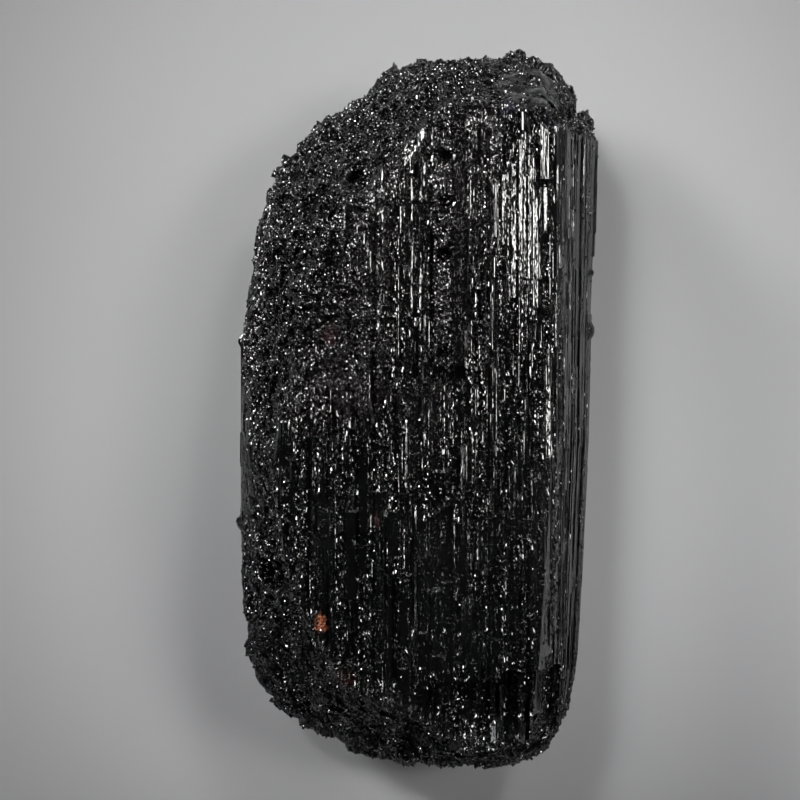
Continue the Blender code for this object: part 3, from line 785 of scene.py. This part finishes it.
def tourmaline(name, black, gloss):
    """Black glassy crystal: clean ribs with hairlines, crust with facets, a few mineral spots and
    painted bluish sheen.
    """
    shader = Shader(name)
    crust, broken = shader.attribute("crust"), shader.attribute("broken")
    ragged = shader.noise(*RAGGED)
    flecks = shader.noise(*FLECKS).ramp(*SPOT_FLECKS)
    colour = shader.blend(shader.noise(*CLOUD).ramp(*CLOUDED), black, CLOUDED_BLACK)
    dull = None
    for x, u, half_width, half_length, tint in SPOTS:
        centre = to_metres(np.array([x, u, SPOT_HEIGHT]))
        size = np.array([half_width, half_length, SPOT_DEPTH]) * METRES
        away = shader.vector("SUBTRACT", shader.place, tuple(centre))
        round_off = shader.vector("DIVIDE", away, tuple(size))
        far = shader.vector("LENGTH", round_off, output="Value") + SPOT_RAGGED * (ragged - 0.5)
        spot = flecks * (1 - far.ramp(*SPOT_EDGE))
        # Each spot tints the base colour; the bluish ones are painted sheen.
        colour = shader.blend(spot, colour, tint)
        dull = spot if dull is None else dull.at_least(spot)
    grains = broken * shader.facets(*GRAINY) + (1 - broken) * shader.facets(*RIDGED)
    cells = grains + shader.facets(*CLUSTERS)
    striae = shader.facets(*STRIAE) * (1 - STRIAE_HIDDEN * crust)
    cracked = shader.bump(striae + cells * (CLEAN_CELLS + CRUST_CELLS * crust), 1.0, 1.0)
    streaks = shader.noise(*STREAKS) * (1 - STREAKS_HIDDEN * crust)
    lines = shader.bump(streaks, 0.5, STREAK_HEIGHT, cracked)
    right_side = shader.place.axis("X").ramp(*RIGHT_SIDE)
    rough = gloss + BAND_ROUGH * shader.noise(*BANDS) + SIDE_ROUGH * right_side
    shader.set(
        Base_Color=colour, Roughness=rough + SPOT_ROUGH * dull, Normal=lines, IOR=IOR)
    return shader.material


class Growth(Tree):
    """A Geometry Nodes tree that puts prisms on points, with named inputs."""

    def __init__(self, name, **inputs):
        tree = bpy.data.node_groups.new(name, "GeometryNodeTree")
        super().__init__(tree)
        tree.is_modifier = True
        self.keys = {}
        self.add_socket("Geometry", "Geometry", "OUTPUT")
        self.add_socket("Geometry", "Geometry")
        for label, default in inputs.items():
            kind = "Float" if isinstance(default, float) else "Int"
            self.add_socket(label, kind).default_value = default
        self.add_socket("Material", "Material")
        self.inputs = tree.nodes.new("NodeGroupInput")
        self.output = tree.nodes.new("NodeGroupOutput")

    def add_socket(self, label, kind, side="INPUT"):
        """Adds an input or output and keeps the key that a modifier knows it by."""
        kind = "NodeSocket" + kind
        socket = self.tree.interface.new_socket(label, in_out=side, socket_type=kind)
        self.keys[label] = socket.identifier
        return socket

    def given(self, label):
        return Value(self, self.inputs.outputs[label])

    def attribute(self, name, kind="FLOAT"):
        return self.node("GeometryNodeInputNamedAttribute", {"Name": name}, {"data_type": kind})

    def vector(self, x, y, z):
        return self.node("ShaderNodeCombineXYZ", {0: x, 1: y, 2: z})

    def random(self, low, high, seed):
        """A random vector between two vectors, or a random number between two numbers."""
        kind, first, output = ("FLOAT_VECTOR", 0, 0) if isinstance(low, Value) else ("FLOAT", 2, 1)
        values = {first: low, first + 1: high, 8: seed}
        return self.node("FunctionNodeRandomValue", values, {"data_type": kind}, output)

    def finish(self, points, prism, turn, scale):
        """Puts a prism on every point, gives them the material and links the output."""
        values = {"Points": points, "Instance": prism, "Rotation": turn, "Scale": scale}
        placed = self.node("GeometryNodeInstanceOnPoints", values)
        real = self.node("GeometryNodeRealizeInstances", {0: placed})
        flat = self.node("GeometryNodeSetShadeSmooth", {"Geometry": real, "Shade Smooth": False})
        values = {"Geometry": flat, "Material": self.given("Material")}
        self.feed(self.output.inputs[0], self.node("GeometryNodeSetMaterial", values))

    def grow_on(self, host, name, material, **values):
        """What the tree makes of a host mesh, as a plain mesh object."""
        piece = add_object(name, host)
        growth = piece.modifiers.new("growth", "NODES")
        growth.node_group = self.tree
        growth[self.keys["Material"]] = material
        for label, value in values.items():
            growth[self.keys[label]] = value
        make_plain(piece)
        piece.data.name = name
        return piece


# Grains: corners, radius of both ends, ranges of width and length, how many grow on steep faces.
GRAIN_CORNERS, GRAIN_TOP, GRAIN_FOOT = 3, 0.34, 0.6
GRAIN_WIDTHS, GRAIN_SHORTEST = (0.5, 1.3), 0.7
GRAIN_FACING, GRAIN_STEEP = (-0.2, 0.6), 0.35


def grain_growth():
    """Stubby grains on the crust of broken ends, of grown faces or of both."""
    tree = Growth(
        "sugar grains", Density=1.0, Width=0.0008, Lean=0.3, Longest=2.0, Broken=1.0, Seed=1)
    crust, broken, wanted = tree.attribute("crust"), tree.attribute("broken"), tree.given("Broken")
    fits = wanted * broken + (1 - wanted) * (1 - broken)
    facing = tree.node("GeometryNodeInputNormal").axis("Z").ramp(*GRAIN_FACING)
    steep = GRAIN_STEEP + (1 - GRAIN_STEEP) * facing
    density = tree.given("Density") * crust * fits * steep
    points = tree.node("GeometryNodeDistributePointsOnFaces", {
        "Mesh": tree.given("Geometry"), "Density": density, "Seed": tree.given("Seed")})
    lean = tree.given("Lean")
    low = tree.vector(-pi / 2 - lean, -pi, 0 - lean)
    high = tree.vector(-pi / 2 + lean, pi, lean)
    turn = tree.random(low, high, tree.given("Seed"))
    width = tree.given("Width") * tree.random(*GRAIN_WIDTHS, 3)
    length = width * tree.random(GRAIN_SHORTEST, tree.given("Longest"), 4)
    prism = tree.node("GeometryNodeMeshCone", {
        "Vertices": GRAIN_CORNERS, "Radius Top": GRAIN_TOP, "Radius Bottom": GRAIN_FOOT,
        "Depth": 1.0}, {"fill_type": "NGON"})
    values = {"Geometry": prism, "Translation": (0.0, 0.0, -0.5)}
    tree.finish(
        points, tree.node("GeometryNodeTransform", values),
        tree.node("FunctionNodeEulerToRotation", {0: turn}), tree.vector(width, width, length))
    return tree


def rod_growth():
    """Straight prisms, one on each point, as long and as wide as its attributes say."""
    tree = Growth("long rods", Flatness=0.7)
    along = tree.attribute("along", "FLOAT_VECTOR")
    turn = tree.node("FunctionNodeAlignRotationToVector", {"Vector": along}, {"axis": "Z"})
    roll = tree.node("FunctionNodeAxisAngleToRotation", {
        "Axis": (0.0, 0.0, 1.0), "Angle": tree.random(-pi, pi, 7)})
    rolled = tree.node(
        "FunctionNodeRotateRotation", {0: turn, 1: roll}, {"rotation_space": "LOCAL"})
    width, length = tree.attribute("width"), tree.attribute("length")
    prism = tree.node("GeometryNodeMeshCylinder", {
        "Vertices": 5, "Radius": 0.5, "Depth": 1.0}, {"fill_type": "NGON"})
    points = tree.node("GeometryNodeMeshToPoints", {0: tree.given("Geometry")})
    scale = tree.vector(width, width * tree.given("Flatness"), length)
    tree.finish(points, prism, rolled, scale)
    return tree


# ---- pieces

def add_object(name, data):
    """A new object at the origin of the scene."""
    item = bpy.data.objects.new(name, data)
    bpy.context.scene.collection.objects.link(item)
    return item


def make_plain(piece):
    """Turns a piece with modifiers into one with a plain mesh."""
    evaluated = piece.evaluated_get(bpy.context.evaluated_depsgraph_get())
    piece.data = bpy.data.meshes.new_from_object(evaluated)
    piece.modifiers.clear()


def add_attribute(mesh, name, values, domain="POINT"):
    """Writes numbers or vectors on a mesh's points or faces."""
    kind, field = ("FLOAT", "value") if values.ndim == 1 else ("FLOAT_VECTOR", "vector")
    mesh.attributes.new(name, kind, domain).data.foreach_set(field, values.ravel())


def fine_body(pitch, triangles, material):
    """The crystal as one closed faceted surface with its crust and granular shares."""
    skin = Skin(pitch)
    points, faces = skin.closed()
    mesh = bpy.data.meshes.new("crystal_body")
    mesh.from_pydata(to_metres(points).tolist(), [], faces)
    body = add_object("crystal_body", mesh)
    full = sum(len(face) - 2 for face in faces)
    if full > triangles:
        body.modifiers.new("facets", "DECIMATE").ratio = triangles / full
        make_plain(body)
        bpy.data.meshes.remove(mesh)
    shape = bmesh.new()
    shape.from_mesh(body.data)
    bmesh.ops.recalc_face_normals(shape, faces=shape.faces[:])
    shape.to_mesh(body.data)
    shape.free()
    body.data.shade_flat()
    body.data.materials.append(material)
    middles = np.zeros(len(body.data.polygons) * 3)
    body.data.polygons.foreach_get("center", middles)
    shares = skin.shares(middles.reshape(-1, 3) / METRES + (MIDDLE_X, MIDDLE_U, 0.0))
    for name, share in zip(("crust", "broken"), shares):
        add_attribute(body.data, name, share, "FACE")
    return body


# Fine rods: where they lie, how far down the right side, the thinnest, how far one may stand off
# the surface, and places checked along it.
ROD_LOW, ROD_HIGH = 27.0, 137.0
ROD_ASIDE, ROD_TURN, ROD_TURN_RUN = 3.0, radians(75), 14.0
ROD_THINNEST, ROD_BRIDGE, ROD_CHECKS = 0.2, 0.5, 9


def rod_points(skin, count, shortest, longest, widest):
    """Points for straight rods that lie along the grown faces and bridge no hollow."""
    order = np.arange(count)
    pick = [hashed([order], 301 + k) for k in range(4)]
    slide = CORE_LEFT + pick[0] * (CORE_RIGHT - CORE_LEFT + ROD_ASIDE)
    angle = np.clip((slide - CORE_RIGHT) / ROD_TURN_RUN, 0, 1) * ROD_TURN
    place = np.where(slide < CORE_RIGHT, slide, np.interp(angle, skin.angle, skin.across))
    length = shortest + (longest - shortest) * pick[1] ** 3
    low = ROD_LOW + pick[2] * (ROD_HIGH - ROD_LOW - length)
    checks = np.linspace(0, 1, ROD_CHECKS)
    start_x = np.minimum(slide, CORE_RIGHT)
    samples = np.stack([
        skin.cast(start_x, np.minimum(low + share * length, CORE_HEAD), angle, 0 * low, place)
        for share in checks], 1)
    first, last, middle = samples[:, 0], samples[:, -1], samples[:, ROD_CHECKS // 2]
    chord = first[:, None] + (last - first)[:, None] * checks[None, :, None]
    off = np.abs(samples - chord).max((1, 2))
    clean = [lane[:4] for lane in RIBS if lane[6] < 0.2]
    on_bar = sum(window(middle[:, 0], middle[:, 1], *lane) for lane in clean)
    keep = (off < ROD_BRIDGE) & (on_bar < 0.1)
    first, last = first[keep], last[keep]
    width = ROD_THINNEST + (widest - ROD_THINNEST) * pick[3][keep] ** 2
    mesh = bpy.data.meshes.new("rod_points")
    mesh.from_pydata(to_metres((first + last) / 2).tolist(), [], [])
    add_attribute(mesh, "along", last - first)
    add_attribute(mesh, "length", np.linalg.norm(last - first, axis=1) * METRES)
    add_attribute(mesh, "width", width * METRES)
    return mesh


def ride(piece):
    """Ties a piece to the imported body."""
    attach(piece, BODY)


# ---- stage

FLOOR_SIZE = 3.0
FLOOR_DROP = 0.00005
# The floor is paler toward the tail, where less light falls, and far off it glows a little.
FLOOR_COLOUR = (0.21, 0.21, 0.212, 1.0)
TAIL_FLOOR_COLOUR = (0.40, 0.40, 0.404, 1.0)
FAR_GLOW = (0.13, 0.13, 0.133, 1.0)
TAIL_GRADE, GLOW_REACH = (-0.06, 0.12), (0.14, 0.75)
AMBIENT, HORIZON, HORIZON_BAND = 0.022, 0.25, (0.02, 0.22)
SKY = (0.92, 0.95, 1.0, 1.0)
BRIGHT_SPOT, TAIL_SPOT = Vector((0.008, 0.062, 0.045)), Vector((0.01, -0.06, 0.03))
WARM, WHITE, COOL = (1.0, 0.99, 0.97), (1.0, 1.0, 1.0), (0.94, 0.96, 1.0)
# Lights: name, place, size, glow, spread in degrees, colour, what it faces.
SOFTBOXES = (
    ("key_softbox", (0.31, 0.12, 0.44), (0.28, 0.28), 38.0, 24, WARM, BRIGHT_SPOT),
    ("upper_right_softbox", (0.18, 0.32, 0.42), (0.20, 0.20), 50.0, 20, WHITE, BRIGHT_SPOT),
    ("head_softbox", (-0.06, 0.49, 0.26), (0.50, 0.20), 9.0, 32, COOL, BRIGHT_SPOT),
    ("upper_left_softbox", (-0.15, 0.25, 0.47), (0.18, 0.18), 95.0, 19, WHITE, BRIGHT_SPOT),
    ("left_softbox", (-0.34, 0.30, 0.32), (0.24, 0.24), 70.0, 25, WHITE, BRIGHT_SPOT),
    ("tail_softbox", (0.20, -0.42, 0.42), (0.35, 0.35), 2.4, 60, WHITE, TAIL_SPOT),
)
LENS, SENSOR = 100.0, 36.0
VIEW_WIDTH = 0.17333
VIEW_X, VIEW_U = -3.7, 80.6


def pale_floor():
    """A matt pale floor just under the crystal."""
    shader = Shader("pale_floor")
    grade = (shader.place.axis("Y") * -1.0).ramp(*TAIL_GRADE)
    far = shader.vector("LENGTH", shader.place, output="Value").ramp(*GLOW_REACH)
    shader.set(
        Base_Color=shader.blend(grade, FLOOR_COLOUR, TAIL_FLOOR_COLOUR), Roughness=0.9,
        Emission_Color=shader.blend(far, (0.0, 0.0, 0.0, 1.0), FAR_GLOW), Emission_Strength=1.0)
    half = FLOOR_SIZE / 2
    corners = [(-half, -half), (half, -half), (half, half), (-half, half)]
    mesh = bpy.data.meshes.new("floor")
    mesh.from_pydata([(x, y, -FLOOR_DROP) for x, y in corners], [], [(0, 1, 2, 3)])
    mesh.materials.append(shader.material)
    add_object("floor", mesh)


def studio_world(scene):
    """Faint even light from above, with a paler band round the horizon."""
    world = scene.world = bpy.data.worlds.new("studio")
    world.use_nodes = True
    tree = Tree(world.node_tree)
    toward = tree.node("ShaderNodeTexCoord", output="Generated")
    level = 1 - toward.axis("Z").ramp(*HORIZON_BAND)
    background = world.node_tree.nodes["Background"].inputs
    tree.feed(background["Color"], SKY)
    tree.feed(background["Strength"], AMBIENT + HORIZON * level)


def softbox(name, place, size, glow, spread_degrees, colour, target):
    """A rectangular light with a grid that faces its target."""
    half = radians(spread_degrees / 2)
    narrowing = tan(half) / (tan(half) - half)
    light = bpy.data.lights.new(name, "AREA")
    light.shape = "RECTANGLE"
    light.size, light.size_y = size
    light.energy = pi * size[0] * size[1] * glow / narrowing
    light.spread = radians(spread_degrees)
    light.color = colour
    lamp = add_object(name, light)
    lamp.location = place
    lamp.rotation_euler = (target - Vector(place)).to_track_quat("-Z", "Y").to_euler()


def look_down_camera(scene):
    """A long lens straight above the crystal, with the head up."""
    camera = bpy.data.cameras.new("camera")
    camera.lens, camera.sensor_width = LENS, SENSOR
    above = VIEW_WIDTH * LENS / SENSOR
    eye = scene.camera = add_object("camera", camera)
    eye.location = to_metres(np.array([VIEW_X, VIEW_U, CORE_HEIGHT])) + (0.0, 0.0, above)
    scene.view_settings.view_transform = "Standard"


# ---- settings, operators and panel


def width_setting(name, description, millimetres):
    return bpy.props.FloatProperty(
        name=name, description=description, default=millimetres * METRES, min=0.1 * METRES,
        unit="LENGTH", precision=5)


class TourmalineForm(bpy.types.PropertyGroup):
    """Sizes of the crystal's fine surface."""

    pitch: width_setting("Surface pitch", "Spacing of surface points before thinning", 0.34)
    triangles: bpy.props.IntProperty(
        name="Triangles", description="Triangles of the body", default=192000, min=10000)
    grain: width_setting("Grain width", "Width of a typical grain of the crust", 0.55)
    grain_density: bpy.props.FloatProperty(
        name="Grain density", description="Grains on a square metre of broken crust",
        default=1.1e6)
    lane_grain: width_setting("Lane grain width", "Width of a grain between the ribs", 0.37)
    lane_density: bpy.props.FloatProperty(
        name="Lane grain density", description="Grains on a square metre between the ribs",
        default=2.4e6)
    rods: bpy.props.IntProperty(
        name="Rods", description="Straight rods that are tried on grown faces", default=2600)
    rod_width: width_setting("Rod width", "Width of the widest of the fine rods", 0.5)


class TourmalineFinish(bpy.types.PropertyGroup):
    """Colour and gloss."""

    black: bpy.props.FloatVectorProperty(
        name="Black", description="Colour of the crystal", subtype="COLOR", size=4,
        default=(0.0005, 0.0005, 0.0006, 1.0), min=0.0, max=1.0)
    gloss: bpy.props.FloatProperty(
        name="Roughness", description="Roughness of the surface", default=0.09, subtype="FACTOR")


class TOURMALINE_OT_body(bpy.types.Operator):
    """Make the crystal's body with its ribs, ledges, pits and broken ends"""

    bl_idname = "tourmaline.body"
    bl_label = "Crystal Body"

    def execute(self, context):
        form, finish = context.scene.tourmaline_form, context.scene.tourmaline_finish
        material = tourmaline("black_tourmaline_surface", tuple(finish.black), finish.gloss)
        pitch = form.pitch / METRES * 1.0
        body = fine_body(pitch, form.triangles, material)
        ride(body)
        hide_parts(NODE)
        return {"FINISHED"}


class TOURMALINE_OT_crust(bpy.types.Operator):
    """Grow sugary grains on the broken parts and finer ones between the ribs"""

    bl_idname = "tourmaline.crust"
    bl_label = "Sugary Crust"

    def execute(self, context):
        form = context.scene.tourmaline_form
        body = bpy.data.objects["crystal_body"].data
        tree, share = grain_growth(), 1.0
        crust = tree.grow_on(
            body, "sugary_crust", body.materials[0], Density=form.grain_density * share,
            Width=form.grain, Lean=1.35, Longest=1.3, Broken=1.0, Seed=5)
        ride(crust)
        grains = tree.grow_on(
            body, "lane_grains", body.materials[0], Density=form.lane_density * share,
            Width=form.lane_grain, Lean=0.4, Longest=2.6, Broken=0.0, Seed=6)
        ride(grains)
        return {"FINISHED"}


class TOURMALINE_OT_rods(bpy.types.Operator):
    """Lay fine straight rods along the grown faces"""

    bl_idname = "tourmaline.rods"
    bl_label = "Fine Rods"

    def execute(self, context):
        form = context.scene.tourmaline_form
        material = bpy.data.objects["crystal_body"].data.materials[0]
        points = rod_points(Skin(1.0), form.rods, 4.0, 34.0, form.rod_width / METRES)
        rods = rod_growth().grow_on(points, "fine_rods", material)
        add_attribute(rods.data, "crust", np.full(len(rods.data.vertices), 0.1))
        ride(rods)
        return {"FINISHED"}


class TOURMALINE_OT_stage(bpy.types.Operator):
    """Set up the floor, the lights and the camera above the crystal"""

    bl_idname = "tourmaline.stage"
    bl_label = "Stage"

    def execute(self, context):
        pale_floor()
        studio_world(context.scene)
        for lamp in SOFTBOXES:
            softbox(*lamp)
        look_down_camera(context.scene)
        return {"FINISHED"}


class TOURMALINE_PT_panel(bpy.types.Panel):
    """Sidebar panel with the crystal's settings and steps."""

    bl_label = "Tourmaline"
    bl_idname = "TOURMALINE_PT_panel"
    bl_space_type = "VIEW_3D"
    bl_region_type = "UI"
    bl_category = "Tourmaline"

    def draw(self, context):
        for group in (context.scene.tourmaline_form, context.scene.tourmaline_finish):
            for name in group.__annotations__:
                self.layout.prop(group, name)
        for operator in OPERATORS:
            self.layout.operator(operator.bl_idname)


OPERATORS = (TOURMALINE_OT_body, TOURMALINE_OT_crust, TOURMALINE_OT_rods, TOURMALINE_OT_stage)
CLASSES = (TourmalineForm, TourmalineFinish, *OPERATORS, TOURMALINE_PT_panel)


def register():
    for item in CLASSES:
        bpy.utils.register_class(item)
    bpy.types.Scene.tourmaline_form = bpy.props.PointerProperty(type=TourmalineForm)
    bpy.types.Scene.tourmaline_finish = bpy.props.PointerProperty(type=TourmalineFinish)


def unregister():
    del bpy.types.Scene.tourmaline_finish
    del bpy.types.Scene.tourmaline_form
    for item in reversed(CLASSES):
        bpy.utils.unregister_class(item)


def main():
    register()
    bpy.ops.tourmaline.body()
    bpy.ops.tourmaline.crust()
    bpy.ops.tourmaline.rods()
    bpy.ops.tourmaline.stage()


if __name__ == "__main__":
    main()
